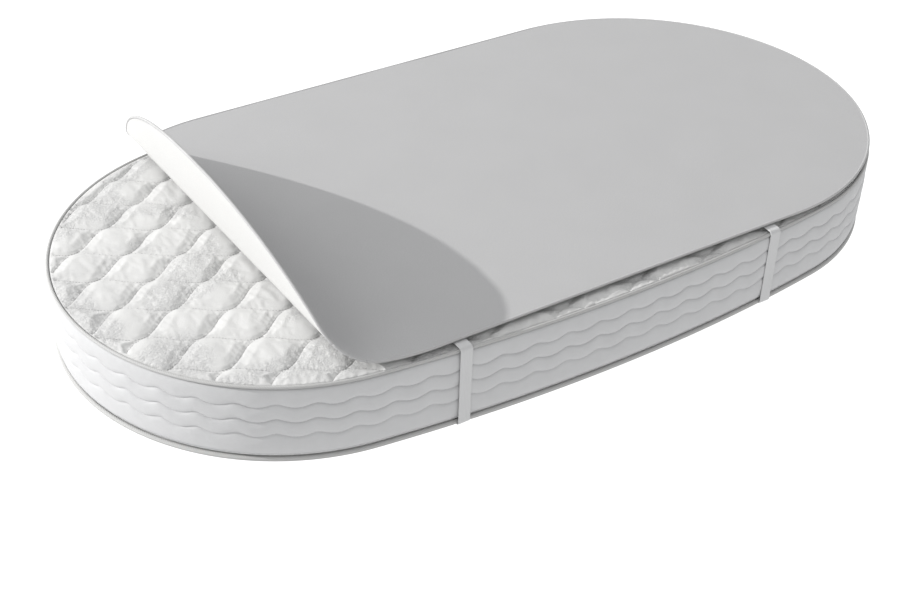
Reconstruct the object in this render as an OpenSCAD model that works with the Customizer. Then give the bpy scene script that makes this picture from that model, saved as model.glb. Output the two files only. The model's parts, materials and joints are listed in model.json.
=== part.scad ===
// Oval crib mattress in a zipped, quilted cover, with a thin protector held on by two elastic straps.
// The protector's left end is peeled up, as four panels that hinge on each other.
// Origin: centre of the base, on the floor. +X runs along the mattress, +Z is up.

/* [Mattress] */
// Overall length over the piping
mattress_l = 1270; // [1200:10:1400]
// Overall width over the piping
mattress_w = 670; // [640:5:720]
// Height from the floor to the rim seam
side_h = 116; // [105:1:130]
// Radius of the round ends, just under half the width, so that the long sides bow out a little
end_r = 313; // [295:1:318]
// Thickness of the firm coir layer
coir_t = 30; // [20:1:40]
// Thickness of the soft foam under the top
comfort_t = 19; // [12:1:30]

/* [Cover] */
// Radius of the bottom piping
bottom_piping_r = 4; // [3:0.5:5]
// Radius of the top piping
top_piping_r = 2.5; // [2:0.25:3]
// Thickness of the quilted side border
border_t = 4; // [3:0.5:4]
// Height of the quilted top above its seam
quilt_rise = 3.4; // [2:0.2:3.4]

/* [Protector] */
// Half the protector's width
sheet_half_w = 330; // [315:1:335]
// How far the protector lies towards the back of the mattress
sheet_shift_y = 19; // [0:1:20]
// Right end of the protector
sheet_right = 646; // [630:1:650]
// Left end of the protector, measured with the flap lying flat
sheet_left = -542; // [-560:1:-530]
// Length over which the left end rounds off
left_depth = 263; // [240:1:290]
// Thickness of the grey face fabric
face_t = 2; // [1:0.5:3]
// Thickness of the white backing
backing_t = 1; // [0.6:0.2:1.4]
// Width of the edge binding
binding_w = 4; // [3:1:10]

/* [Peeled flap] */
// Where the protector lifts off the mattress
lift_x = -350; // [-380:1:-320]
// Radius of the curl
curl_r = 65; // [50:1:80]
// Angle of the peeled end above the flat
curl_deg = 74; // [40:1:90]

/* [Straps] */
// Width of the elastic straps
strap_w = 18; // [15:1:30]
// Thickness of the elastic straps
strap_t = 1.5; // [1:0.1:1.6]
// Half the distance between the straps
strap_x = 254; // [200:1:300]
// How far the straps lie towards the right end
strap_shift = 6; // [0:1:10]

/* [Zip] */
// Where the slider is parked, on the back
slider_x = 150; // [100:1:170]
// Length of the pull tab
tab_l = 24; // [16:1:30]

/* [Hidden] */
$fn = 96;
half_l = mattress_l / 2;
half_w = mattress_w / 2;
end_c = half_l - end_r;
side_r = (end_c * end_c + half_w * half_w - end_r * end_r) / (2 * (half_w - end_r));
side_c = side_r - half_w;

gap = 0.2;
fold_gap = 0.5;
panel_t = 6;
groove_z = 2 * bottom_piping_r;
groove_h = 6;
border_z = groove_z + groove_h;
border_top = side_h - 4.4;
liner_in = 12.2;
liner_t = 1;
liner_z = panel_t + gap;
core_top = side_h - 9;
core_z = liner_z + liner_t + gap;
core_in = liner_in + liner_t + gap;
foam_z = core_z + coir_t + gap;
comfort_z = core_top - liner_t - gap - comfort_t;
wadding_top = side_h - 4;
quilt_top = side_h + quilt_rise;
zip_z = groove_z + 2.6;
coil_h = 3;
coil_in = 2.6;
coil_t = 1.6;
zip_gap_x = 186;
zip_gap_l = 16;

backing_z = side_h + 6.5;
face_z = backing_z + backing_t;
face_top = face_z + face_t;
binding_z = backing_z - 0.6;
binding_t = backing_t + face_t + 1.2;
fold_z = binding_z + binding_t + 0.1;
folds = 4;
fold_deg = curl_deg / folds;
curl_len = curl_r * curl_deg * PI / 180;
fold_pitch = curl_len / folds;
strap_top = side_h + 5.2;
patch_w = 40;
patch_d = 28;
patch_y = sheet_half_w - sheet_shift_y - binding_w - patch_d / 2 - 5;
slider_l = 14;
slider_deg = asin(slider_x / side_r);
pin_r = 0.9;
knuckle_r = 2;
knuckle_hole = 0.98;
tab_eye_r = 0.7;
pin_y = 4.2;
tab_t = 1.4;
tab_h = 2.6;

// ---- shapes of the mattress ----

// Oval of four arcs, drawn in from the outline by d
module oval(d) {
    join_x = (side_r - d) * end_c / (side_r - end_r);
    for (s = [-1, 1]) translate([s * end_c, 0]) circle(end_r - d);
    intersection() {
        translate([0, -side_c]) circle(side_r - d, $fn = 360);
        translate([0, side_c]) circle(side_r - d, $fn = 360);
        square([2 * join_x, 2 * half_w], center = true);
    }
}

// Slab with the oval outline
module slab(d, z, h) {
    translate([0, 0, z]) linear_extrude(h) oval(d);
}

// Upright band that follows the oval outline
module ring(d, t, z, h) {
    translate([0, 0, z]) linear_extrude(h) difference() {
        oval(d);
        oval(d + t);
    }
}

// Cord that follows the oval outline; its round section is built up in three steps
module cord_ring(d, r, z) {
    side_w = 0.6 * r;
    for (step = [[-r, 0.5 * r, side_w], [-0.5 * r, r, 0], [0.5 * r, 0.5 * r, side_w]])
        ring(d - r + step[2], 2 * (r - step[2]), z + step[0], step[1]);
}

// Shallow slots that the straps lie in where they pass under the mattress
module strap_slots() {
    slot_w = strap_w + 2;
    for (s = [-1, 1]) translate([s * strap_x + strap_shift - slot_w / 2, -half_w - 1, -1])
        cube([slot_w, mattress_w + 2, strap_t + 1 + gap]);
}

// Outline's distance from the middle at a given x, on the long sides
function side_y(x) = sqrt(side_r * side_r - x * x) - side_c;

// ---- cover ----

module bottom_panel() {
    color("whitesmoke") difference() {
        slab(2 * bottom_piping_r + 0.3, 0, panel_t);
        strap_slots();
    }
}

module bottom_piping() {
    color("gainsboro") difference() {
        cord_ring(bottom_piping_r, bottom_piping_r, bottom_piping_r);
        strap_slots();
    }
}

module zip_tape_lower() {
    color("white") ring(4.4, 1, groove_z + gap, 2.2);
}

module zip_tape_upper() {
    color("white") ring(4.4, 1, groove_z + 2.9, 2.9);
}

// The coil runs all round, except for a short break between its two ends on the back
module zip_teeth() {
    color("lightgray") difference() {
        ring(coil_in, coil_t, zip_z - coil_h / 2, coil_h);
        translate([zip_gap_x, half_w - 40, 0]) cube([zip_gap_l, 60, 30]);
    }
}

module zip_end_stops() {
    stop_l = 2.5;
    color("silver") for (x = [zip_gap_x + 0.3, zip_gap_x + zip_gap_l - 0.3 - stop_l])
        translate([x, side_y(x) - 4.1, zip_z - coil_h / 2]) cube([stop_l, 1.6, coil_h]);
}

module border_band() {
    color("white") ring(0.8, border_t, border_z, border_top - border_z);
}

module border_wadding() {
    color("ivory") ring(6, 5.8, groove_z + 0.3, core_top - groove_z - 0.3);
}

module top_piping() {
    color("gainsboro") cord_ring(top_piping_r + 0.1, top_piping_r, side_h - 1.6);
}

module quilted_top() {
    color("white") slab(2 * top_piping_r + 0.4, wadding_top + gap, quilt_top - wadding_top - gap);
}

module top_wadding() {
    color("ivory") slab(6, core_top + gap, wadding_top - core_top - gap);
}

// ---- core ----

module core_liner() {
    color("aliceblue") difference() {
        slab(liner_in, liner_z, core_top - liner_z);
        slab(liner_in + liner_t, liner_z + liner_t, core_top - liner_z - 2 * liner_t);
    }
}

module coir_layer() {
    color("peru") slab(core_in, core_z, coir_t);
}

module foam_core() {
    color("lemonchiffon") slab(core_in, foam_z, comfort_z - gap - foam_z);
}

module comfort_foam() {
    color("lightyellow") slab(core_in, comfort_z, comfort_t);
}

// ---- protector ----

// Half-outline of the left end: a rounded end that is a little squarer than an ellipse
function left_end(d) = [for (i = [0 : 2 : 48]) let (a = -90 + i * 3.75, squareness = 0.92)
    [sheet_left + left_depth - (left_depth - d) * pow(cos(a), squareness),
     (sheet_half_w - d) * sign(sin(a)) * pow(abs(sin(a)), squareness)]];

// Flat outline of the protector, drawn in by d
module sheet_outline(d) {
    right_c = sheet_right - sheet_half_w;
    translate([0, sheet_shift_y]) {
        translate([right_c, 0]) circle(sheet_half_w - d, $fn = 180);
        translate([sheet_left + left_depth - 0.01, -(sheet_half_w - d)])
            square([right_c - sheet_left - left_depth + 0.01, 2 * (sheet_half_w - d)]);
        polygon(left_end(d));
    }
}

// Part of the outline between two x positions
module sheet_slice(x0, x1, d) {
    intersection() {
        sheet_outline(d);
        translate([x0, -mattress_w]) square([x1 - x0, 2 * mattress_w]);
    }
}

module face_slice(x0, x1) {
    color("darkgray") translate([0, 0, face_z]) linear_extrude(face_t)
        sheet_slice(x0, x1, binding_w + gap);
}

module backing_slice(x0, x1) {
    color("white") translate([0, 0, backing_z]) linear_extrude(backing_t)
        sheet_slice(x0, x1, binding_w + gap);
}

module binding_slice(x0, x1) {
    color("lightgray") translate([0, 0, binding_z]) linear_extrude(binding_t) difference() {
        sheet_slice(x0, x1, 0);
        sheet_slice(x0 - 1, x1 + 1, binding_w);
    }
}

// Fold k runs along Y; the flap's panels lie between the folds, and the last one reaches the end
function fold_x(k) = lift_x - (k - 0.5) * fold_pitch;
function panel_right(k) = fold_x(k) - fold_gap / 2;
function panel_left(k) = k == folds ? sheet_left - 1 : fold_x(k + 1) + fold_gap / 2;
main_left = fold_x(1) + fold_gap / 2;

// Turns a flat panel up about the first k folds
module raised(k) {
    if (k == 0) children();
    else raised(k - 1) translate([fold_x(k), 0, fold_z]) rotate([0, fold_deg, 0])
        translate([-fold_x(k), 0, -fold_z]) children();
}

module flap_face(k) { raised(k) face_slice(panel_left(k), panel_right(k)); }
module flap_backing(k) { raised(k) backing_slice(panel_left(k), panel_right(k)); }
module flap_binding(k) { raised(k) binding_slice(panel_left(k), panel_right(k)); }

module protector_face() { face_slice(main_left, sheet_right + 1); }
module protector_backing() { backing_slice(main_left, sheet_right + 1); }
module protector_binding() { binding_slice(main_left, sheet_right + 1); }

// ---- straps ----

// One elastic strap: under the base, up both sides and in under the protector's edges
module strap(x) {
    y_in = side_y(abs(x) - strap_w / 2) + 0.4;
    y_out = y_in + strap_t;
    tuck = 50;
    translate([x + strap_w / 2, 0, 0]) rotate([90, 0, -90]) linear_extrude(strap_w) difference() {
        translate([-y_out, 0]) square([2 * y_out, strap_top]);
        translate([-y_in, strap_t]) square([2 * y_in, strap_top - 2 * strap_t]);
        translate([-y_in + tuck, strap_top - strap_t - 1]) square([2 * (y_in - tuck), strap_t + 2]);
    }
}

module strap_patches(x) {
    for (y = [-patch_y, patch_y]) translate([x, y, strap_top + gap / 2])
        linear_extrude(backing_z - strap_top - gap) square([patch_w, patch_d], center = true);
}

module strap_left() { color("lightgray") strap(strap_shift - strap_x); }
module strap_right() { color("lightgray") strap(strap_shift + strap_x); }
module strap_patches_left() { color("silver") strap_patches(strap_shift - strap_x); }
module strap_patches_right() { color("silver") strap_patches(strap_shift + strap_x); }

// ---- zip slider, built at the middle of the back and turned to its place on the side's arc ----

module at_slider() {
    translate([0, -side_c, 0]) rotate([0, 0, -slider_deg]) translate([0, side_r, 0]) children();
}

module zip_slider() {
    plate_h = 5;
    lug_h = 1;
    color("silver") at_slider() translate([0, 0, zip_z - plate_h / 2]) {
        translate([-slider_l / 2, -2.1, 0]) cube([slider_l, 3.9, plate_h]);
        for (z = [0, plate_h - lug_h]) translate([0, 0, z]) {
            translate([-knuckle_r, 0, 0]) cube([2 * knuckle_r, pin_y, lug_h]);
            translate([0, pin_y, 0]) cylinder(r = knuckle_r, h = lug_h);
        }
        translate([0, pin_y, 0]) cylinder(r = pin_r, h = plate_h);
    }
}

module pull_tab() {
    color("silver") at_slider() translate([0, pin_y, zip_z - tab_h / 2]) difference() {
        union() {
            cylinder(r = knuckle_r, h = tab_h);
            translate([0, -tab_t / 2, 0]) cube([tab_l, tab_t, tab_h]);
        }
        translate([0, 0, -1]) cylinder(r = knuckle_hole, h = tab_h + 2);
        translate([tab_l - 4, tab_t, tab_h / 2]) rotate([90, 0, 0]) cylinder(r = tab_eye_r, h = 2 * tab_t);
    }
}

// ---- what is drawn ----

bottom_panel();
bottom_piping();
zip_tape_lower();
zip_tape_upper();
zip_teeth();
zip_end_stops();
border_band();
border_wadding();
top_piping();
quilted_top();
top_wadding();
core_liner();
coir_layer();
foam_core();
comfort_foam();
protector_face();
protector_backing();
protector_binding();
strap_left();
strap_right();
strap_patches_left();
strap_patches_right();
flap_face(1);  // flap_1_face
flap_backing(1);  // flap_1_backing
flap_binding(1);  // flap_1_binding
flap_face(2);  // flap_2_face
flap_backing(2);  // flap_2_backing
flap_binding(2);  // flap_2_binding
flap_face(3);  // flap_3_face
flap_backing(3);  // flap_3_backing
flap_binding(3);  // flap_3_binding
flap_face(4);  // flap_4_face
flap_backing(4);  // flap_4_backing
flap_binding(4);  // flap_4_binding
zip_slider();
pull_tab();
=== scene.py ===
"""Oval crib mattress: quilted zip cover, peeled protector held by two elastic straps."""
import json
import math
import bmesh
import bpy
import numpy as np
from bpy.props import FloatProperty, FloatVectorProperty, IntProperty, PointerProperty
from mathutils import Matrix, Vector, noise
from mathutils.geometry import delaunay_2d_cdt


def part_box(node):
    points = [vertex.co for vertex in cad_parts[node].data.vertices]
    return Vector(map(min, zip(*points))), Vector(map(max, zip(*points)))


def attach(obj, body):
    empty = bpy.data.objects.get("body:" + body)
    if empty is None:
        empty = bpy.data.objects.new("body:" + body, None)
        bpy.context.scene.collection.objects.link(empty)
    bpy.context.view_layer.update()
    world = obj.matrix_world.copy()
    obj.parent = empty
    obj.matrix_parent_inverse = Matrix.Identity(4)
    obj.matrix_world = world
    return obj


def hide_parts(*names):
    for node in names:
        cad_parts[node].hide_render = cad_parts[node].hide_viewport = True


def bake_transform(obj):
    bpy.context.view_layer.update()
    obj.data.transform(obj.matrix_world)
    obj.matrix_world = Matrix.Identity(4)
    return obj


bl_info = {
    "name": "Oval crib mattress",
    "version": (1, 0, 0),
    "blender": (4, 5, 0),
    "location": "3D View > Sidebar > Mattress",
    "description": "Builds the quilted cover, protector, straps and zip round the packed frame",
    "category": "Add Mesh",
}

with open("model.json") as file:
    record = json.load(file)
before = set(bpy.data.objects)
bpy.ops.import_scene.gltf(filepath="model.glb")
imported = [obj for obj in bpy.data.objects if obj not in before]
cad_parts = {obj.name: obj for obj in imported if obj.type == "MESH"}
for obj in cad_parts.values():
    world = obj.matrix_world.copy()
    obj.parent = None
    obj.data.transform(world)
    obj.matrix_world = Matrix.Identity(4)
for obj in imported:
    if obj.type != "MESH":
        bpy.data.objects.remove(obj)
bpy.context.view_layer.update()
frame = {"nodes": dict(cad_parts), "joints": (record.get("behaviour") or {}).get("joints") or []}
MM = 0.001
FULL_TURN = 2 * math.pi


def low(node):
    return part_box(node)[0]


def high(node):
    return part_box(node)[1]


def joint(name):
    return next(j for j in frame["joints"] if j["name"] == name)


# ---------------------------------------------------------------- places taken from the frame

HALF_L = high("bottom_piping").x
HALF_W = high("bottom_piping").y
HINGES = [joint(n) for n in ("flap_peel", "flap_bend_2", "flap_bend_3", "flap_bend_4")]
FOLD_DEG = -HINGES[0]["range_deg"][0]
FOLD_PITCH = (Vector(HINGES[1]["pos_m"]) - Vector(HINGES[0]["pos_m"])).length
LIFT_X = HINGES[0]["pos_m"][0] + FOLD_PITCH / 2
FOLD_Z = HINGES[0]["pos_m"][2]
FOLDS = len(HINGES)
CURL_LEN = FOLDS * FOLD_PITCH
CURL_ANGLE = math.radians(FOLDS * FOLD_DEG)
CURL_R = FOLD_PITCH / 2 / math.tan(math.radians(FOLD_DEG) / 2)
SHEET_RIGHT = high("protector_binding").x
SHEET_NEAR = low("protector_binding").y
SHEET_FAR = high("protector_binding").y
SHEET_MID = (SHEET_NEAR + SHEET_FAR) / 2
SHEET_HALF = (SHEET_FAR - SHEET_NEAR) / 2
FACE_TOP = high("protector_face").z
FACE_LOW = low("protector_face").z
BACKING_LOW = low("protector_backing").z


class MattressSizes(bpy.types.PropertyGroup):
    end_radius: FloatProperty(
        name="End radius", description="Radius of the mattress's round ends",
        default=0.313, unit="LENGTH")
    sheet_left: FloatProperty(
        name="Protector's left end",
        description="Where the protector ends when its flap lies flat",
        default=-0.542, unit="LENGTH")
    left_depth: FloatProperty(
        name="Left end's depth",
        description="Length over which the protector's left end rounds off",
        default=0.263, unit="LENGTH")
    wave_count: IntProperty(
        name="Border waves",
        description="Waves in each stitched line round the border", default=66)
    wave_height: FloatProperty(
        name="Wave height",
        description="Rise of the border's stitched waves either side of their line",
        default=0.0028, unit="LENGTH")
    border_puff: FloatProperty(
        name="Border puff", description="How far the border swells between its stitched lines",
        default=0.0026, unit="LENGTH")
    quilt_step: FloatProperty(
        name="Quilt row", description="Distance between neighbouring quilting lines",
        default=0.036, unit="LENGTH")
    quilt_wave: FloatProperty(
        name="Quilt wave length", description="Length of one wave of a quilting line",
        default=0.12, unit="LENGTH")
    quilt_swing: FloatProperty(
        name="Quilt wave height", description="Rise of a quilting line either side of its row",
        default=0.0172, unit="LENGTH")
    puff_height: FloatProperty(
        name="Puff height", description="How far the filling stands up between the stitched rows",
        default=0.0042, unit="LENGTH")
    fill_pressure: FloatProperty(
        name="Fill pressure", description="Pressure that swells the quilting", default=5.0)
    stitch_length: FloatProperty(
        name="Stitch length", description="Length of one visible stitch",
        default=0.0032, unit="LENGTH")


class MattressColours(bpy.types.PropertyGroup):
    quilt: FloatVectorProperty(
        name="Quilted ticking", description="Ticking of the top", subtype="COLOR",
        default=(0.585, 0.585, 0.578))
    quilt_pattern: FloatVectorProperty(
        name="Woven pattern", description="Darker thread of the ticking's woven pattern",
        subtype="COLOR", default=(0.45, 0.45, 0.45))
    border: FloatVectorProperty(
        name="Border ticking", description="Ticking of the side border", subtype="COLOR",
        default=(0.525, 0.527, 0.532))
    piping: FloatVectorProperty(
        name="Piping", description="Cord along both rims", subtype="COLOR",
        default=(0.48, 0.48, 0.474))
    face: FloatVectorProperty(
        name="Protector face", description="Grey face cloth of the protector", subtype="COLOR",
        default=(0.414, 0.414, 0.417))
    backing: FloatVectorProperty(
        name="Protector backing", description="White underside of the protector", subtype="COLOR",
        default=(0.60, 0.60, 0.592))
    binding: FloatVectorProperty(
        name="Edge binding", description="Tape sewn round the protector", subtype="COLOR",
        default=(0.46, 0.46, 0.46))
    elastic: FloatVectorProperty(
        name="Elastic straps", description="Ribbed elastic of the straps", subtype="COLOR",
        default=(0.59, 0.592, 0.595))


def sizes():
    return bpy.context.scene.mattress_sizes


def colours():
    return bpy.context.scene.mattress_colours


# ---------------------------------------------------------------- meshes

def add_mesh(name, verts, faces, materials, uv=None, face_material=None, wrap=None):
    """Makes a smooth-shaded object; uv gives each vertex's place on its cloth, in metres."""
    mesh = bpy.data.meshes.new(name)
    mesh.from_pydata([tuple(map(float, v)) for v in verts], [],
                     [list(map(int, f)) for f in faces])
    mesh.shade_smooth()
    for m in materials if isinstance(materials, (list, tuple)) else [materials]:
        mesh.materials.append(m)
    if face_material is not None:
        mesh.polygons.foreach_set("material_index", np.asarray(face_material, np.int32))
    if uv is not None:
        lay_cloth(mesh, np.asarray(uv, float), wrap)
    mesh.update()
    obj = bpy.data.objects.new(name, mesh)
    bpy.context.scene.collection.objects.link(obj)
    return obj


def lay_cloth(mesh, uv, wrap):
    """Writes the cloth's own coordinates; wrap is the length after which a closed band repeats."""
    corner = np.zeros(len(mesh.loops), np.int32)
    mesh.loops.foreach_get("vertex_index", corner)
    at = uv[corner].copy()
    if wrap:
        starts = np.zeros(len(mesh.polygons), np.int32)
        totals = np.zeros(len(mesh.polygons), np.int32)
        mesh.polygons.foreach_get("loop_start", starts)
        mesh.polygons.foreach_get("loop_total", totals)
        biggest = np.repeat(np.maximum.reduceat(at[:, 0], starts), totals)
        at[:, 0] += np.where(biggest - at[:, 0] > wrap / 2, wrap, 0)
    layer = mesh.uv_layers.new(name="cloth")
    layer.data.foreach_set("uv", at.ravel())


def grid_faces(rows, cols, close_rows=False, close_cols=False, first=0):
    """Quads over a grid of points numbered row by row."""
    r = np.arange(rows if close_rows else rows - 1)
    c = np.arange(cols if close_cols else cols - 1)
    r, c = np.meshgrid(r, c, indexing="ij")
    a, b = r * cols + c, r * cols + (c + 1) % cols
    d, e = (r + 1) % rows * cols + (c + 1) % cols, (r + 1) % rows * cols + c
    return (np.stack([a, b, d, e], -1).reshape(-1, 4) + first).tolist()


def staggered(step):
    """Points in rows that are shifted by half a step, over the mattress's whole rectangle."""
    gx, gy = np.arange(-HALF_L, HALF_L, step), np.arange(-HALF_W, HALF_W, step * 0.866)
    yy, xx = np.meshgrid(gy, gx, indexing="ij")
    xx = xx + (np.arange(len(gy)) % 2)[:, None] * step / 2
    return xx.ravel(), yy.ravel()


def triangulate(points, links, z):
    """Triangles over flat points that keep the links, and the given point at each corner."""
    made = delaunay_2d_cdt([Vector(p) for p in points], links, [], 0, 1e-6, True)
    source = np.array([min(o) if o else len(points) for o in made[3]])
    return np.array([(v.x, v.y, z) for v in made[0]]), [list(t) for t in made[2]], source


def close_flat(obj, level, smooth):
    """Closes an open sheet with a wall to a flat face at a level; smooth picks the soft faces."""
    bm = bmesh.new()
    bm.from_mesh(obj.data)
    made = bmesh.ops.extrude_edge_only(bm, edges=[e for e in bm.edges if e.is_boundary])
    for v in made["geom"]:
        if isinstance(v, bmesh.types.BMVert):
            v.co.z = level
    bmesh.ops.contextual_create(bm, geom=[e for e in bm.edges if e.is_boundary])
    bmesh.ops.recalc_face_normals(bm, faces=bm.faces[:])
    for face in bm.faces:
        face.smooth = smooth(face)
    bm.to_mesh(obj.data)
    bm.free()


def face_outwards(obj):
    bm = bmesh.new()
    bm.from_mesh(obj.data)
    bmesh.ops.recalc_face_normals(bm, faces=bm.faces[:])
    bm.to_mesh(obj.data)
    bm.free()


def settle(obj, slot, *nodes, body="mattress"):
    """Hides the frame's nodes that a piece stands for and hangs the piece on the body it rides on;
    slot, its finish, is not used.
    """
    if nodes:
        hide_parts(*nodes)
    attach(obj, body)


def soft_noise(points, scale, seed):
    """Smooth noise from -1 to 1 at each point, with features of about the given size."""
    shift = Vector((seed * 17.31, seed * 5.77, seed * 11.13))
    return np.array([noise.noise(Vector(p) / scale + shift) for p in points])


def oval():
    """The four arcs: end radius and centre, side radius and centre, angle where they meet."""
    r, c = sizes().end_radius, HALF_L - sizes().end_radius
    side = (c * c + HALF_W ** 2 - r * r) / (2 * (HALF_W - r))
    sink = side - HALF_W
    return r, c, side, sink, math.atan2(sink, c)


def outline(count, inset=0.0):
    """Points evenly spaced round the mattress, their outward directions and distances along."""
    r, c, side, sink, join = oval()
    arcs = [(c, 0, r, -join, join), (0, -sink, side, join, math.pi - join),
            (-c, 0, r, math.pi - join, math.pi + join),
            (0, sink, side, math.pi + join, FULL_TURN - join)]
    ends = np.cumsum([0] + [a[2] * (a[4] - a[3]) for a in arcs])
    s = np.arange(count) * ends[-1] / count
    place, out = np.zeros((count, 2)), np.zeros((count, 2))
    for (cx, cy, rad, start, _), begin, end in zip(arcs, ends, ends[1:]):
        on = (s >= begin) & (s < end)
        a = start + (s[on] - begin) / rad
        out[on] = np.stack([np.cos(a), np.sin(a)], -1)
        place[on] = np.array([cx, cy]) + (rad - inset) * out[on]
    return place, out, s, ends[-1]


def side_y(x):
    """Half the mattress's width at a given place along its long sides."""
    side = oval()[2]
    return math.sqrt(side * side - x * x) - side + HALF_W


def round_the_rim(name, section, count, material):
    """Sweeps a closed section of (inset, height) pairs round the mattress."""
    place, out, s, total = outline(count)
    section = np.asarray(section, float)
    k = len(section)
    ring = np.zeros((count, k, 3))
    ring[:, :, :2] = place[:, None] - out[:, None] * section[None, :, :1]
    ring[:, :, 2] = section[:, 1]
    walk = np.cumsum(np.r_[0, np.linalg.norm(np.diff(section, axis=0), axis=1)])
    uv = np.stack(np.broadcast_arrays(s[:, None], walk[None, :]), -1)
    return add_mesh(name, ring.reshape(-1, 3), grid_faces(count, k, True, True), material,
                    uv.reshape(-1, 2), wrap=total)


# ---------------------------------------------------------------- materials

class Finish:
    """A material's nodes, from the place on the piece to the shader."""

    def __init__(self, name, roughness, sheen=0.0, metallic=0.0, surface=False):
        self.mat = bpy.data.materials.new(name)
        self.mat.use_nodes = True
        self.tree = self.mat.node_tree
        self.shader = self.tree.nodes["Principled BSDF"]
        self.shader.inputs["Roughness"].default_value = roughness
        self.shader.inputs["Sheen Weight"].default_value = sheen
        self.shader.inputs["Sheen Roughness"].default_value = 0.5
        self.shader.inputs["Metallic"].default_value = metallic
        self.shader.inputs["Specular IOR Level"].default_value = 0.5 if metallic else 0.18
        coords = self.add("ShaderNodeTexCoord")
        self.place = coords.outputs["UV" if surface else "Object"]

    def add(self, kind, inputs=None, **settings):
        node = self.tree.nodes.new(kind)
        for key, value in settings.items():
            setattr(node, key, value)
        for key, value in (inputs or {}).items():
            self.put(node.inputs[key], value)
        return node

    def put(self, socket, value):
        if isinstance(value, bpy.types.NodeSocket):
            self.tree.links.new(value, socket)
        elif hasattr(value, "__len__") and len(value) == 3 and socket.type == "RGBA":
            socket.default_value = (*value, 1)
        else:
            socket.default_value = value

    def scaled(self, x, y, z=1.0, turn=0.0):
        node = self.add("ShaderNodeMapping", {"Vector": self.place, "Scale": (x, y, z),
                                              "Rotation": (0, 0, turn)})
        return node.outputs[0]

    def noise(self, size, detail=2.0, rough=0.5, place=None, distort=0.0):
        node = self.add("ShaderNodeTexNoise", {
            "Vector": place or self.place, "Scale": 1 / size, "Detail": detail,
            "Roughness": rough, "Distortion": distort})
        return node.outputs["Fac"]

    def cells(self, size, place=None, feature="F1"):
        node = self.add("ShaderNodeTexVoronoi", {"Vector": place or self.place,
                                                 "Scale": 1 / size}, feature=feature)
        return node.outputs["Distance"]

    def ribs(self, size, axis="X", distort=0.0, place=None):
        node = self.add("ShaderNodeTexWave", {
            "Vector": place or self.place, "Scale": math.pi / 10 / size, "Distortion": distort,
            "Detail": 1.0}, bands_direction=axis)
        return node.outputs["Fac"]

    def math(self, how, a, b=0.0, c=0.0):
        node = self.add("ShaderNodeMath", operation=how)
        for i, value in enumerate((a, b, c)):
            self.put(node.inputs[i], value)
        return node.outputs[0]

    def ramp(self, value, start, end, low=0.0, high=1.0):
        node = self.add("ShaderNodeMapRange", {
            "Value": value, "From Min": start, "From Max": end, "To Min": low, "To Max": high},
            interpolation_type="SMOOTHSTEP")
        return node.outputs[0]

    def blend(self, share, a, b):
        node = self.add("ShaderNodeMix", data_type="RGBA")
        for key, value in ((0, share), (6, a), (7, b)):
            self.put(node.inputs[key], value)
        return node.outputs[2]

    def relief(self, height, depth, strength=1.0, under=None):
        inputs = {"Height": height, "Distance": depth, "Strength": strength}
        if under is not None:
            inputs["Normal"] = under
        return self.add("ShaderNodeBump", inputs).outputs[0]

    def done(self, colour, normal=None, roughness=None):
        self.put(self.shader.inputs["Base Color"], colour)
        if normal is not None:
            self.put(self.shader.inputs["Normal"], normal)
        if roughness is not None:
            self.put(self.shader.inputs["Roughness"], roughness)
        return self.mat


def shade(colour, factor):
    return tuple(min(1.0, c * factor) for c in colour)


def plain_weave(f, thread, axis_a="X", axis_b="Y"):
    """Height of an over-and-under weave of the given thread width."""
    return f.math("MULTIPLY", f.ribs(thread, axis_a), f.ribs(thread, axis_b))


def quilt_ticking():
    f = Finish("quilt_ticking", 0.72, sheen=0.15)
    base, dark = tuple(colours().quilt), tuple(colours().quilt_pattern)
    area = f.ramp(f.noise(0.085, 1.0, 0.4), 0.50, 0.60)
    petals = f.ramp(f.noise(0.0062, 3.0, 0.6, distort=1.8), 0.40, 0.62)
    veins = f.ramp(f.cells(0.011, feature="DISTANCE_TO_EDGE"), 0.03, 0.16)
    outlines = f.math("MULTIPLY", f.math("SUBTRACT", 1.0, veins), 0.55)
    pattern = f.math("MULTIPLY", area, f.math("MAXIMUM", outlines, petals))
    faint = f.math("MULTIPLY", f.ramp(f.noise(0.03, 2.0), 0.45, 0.7), 0.22)
    amount = f.math("MAXIMUM", f.math("MULTIPLY", pattern, 0.75), faint)
    grain = f.noise(0.0012, 1.0)
    tone = f.blend(amount, base, dark)
    tone = f.blend(f.math("MULTIPLY", grain, 0.16), tone, shade(dark, 0.8))
    weave = f.relief(f.noise(0.0009, 1.0, place=f.scaled(1, 0.45)), 0.0004, 0.5)
    raised = f.relief(pattern, 0.0007, 0.6, weave)
    rough = f.ramp(pattern, 0, 1, 0.78, 0.55)
    return f.done(tone, raised, rough)


def border_ticking():
    f = Finish("border_ticking", 0.78, sheen=0.1, surface=True)
    base = tuple(colours().border)
    threads = f.ribs(0.0011, "X", 0.4)
    mottle = f.noise(0.02, 3.0)
    tone = f.blend(f.ramp(mottle, 0.3, 0.75, 0, 0.5), base, shade(base, 0.93))
    tone = f.blend(f.math("MULTIPLY", threads, 0.12), tone, shade(base, 0.7))
    fine = f.relief(threads, 0.0003, 0.4)
    return f.done(tone, f.relief(f.noise(0.006, 2.0), 0.0006, 0.4, fine))


def piping_cord():
    f = Finish("piping_cord", 0.75, sheen=0.1, surface=True)
    base = tuple(colours().piping)
    twist = f.ribs(0.0016, "DIAGONAL", 0.2)
    tone = f.blend(f.math("MULTIPLY", twist, 0.35), base, shade(base, 0.72))
    tone = f.blend(f.ramp(f.noise(0.015, 2.0), 0.35, 0.7, 0, 0.4), tone, shade(base, 0.9))
    return f.done(tone, f.relief(twist, 0.0005, 0.6))


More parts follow.
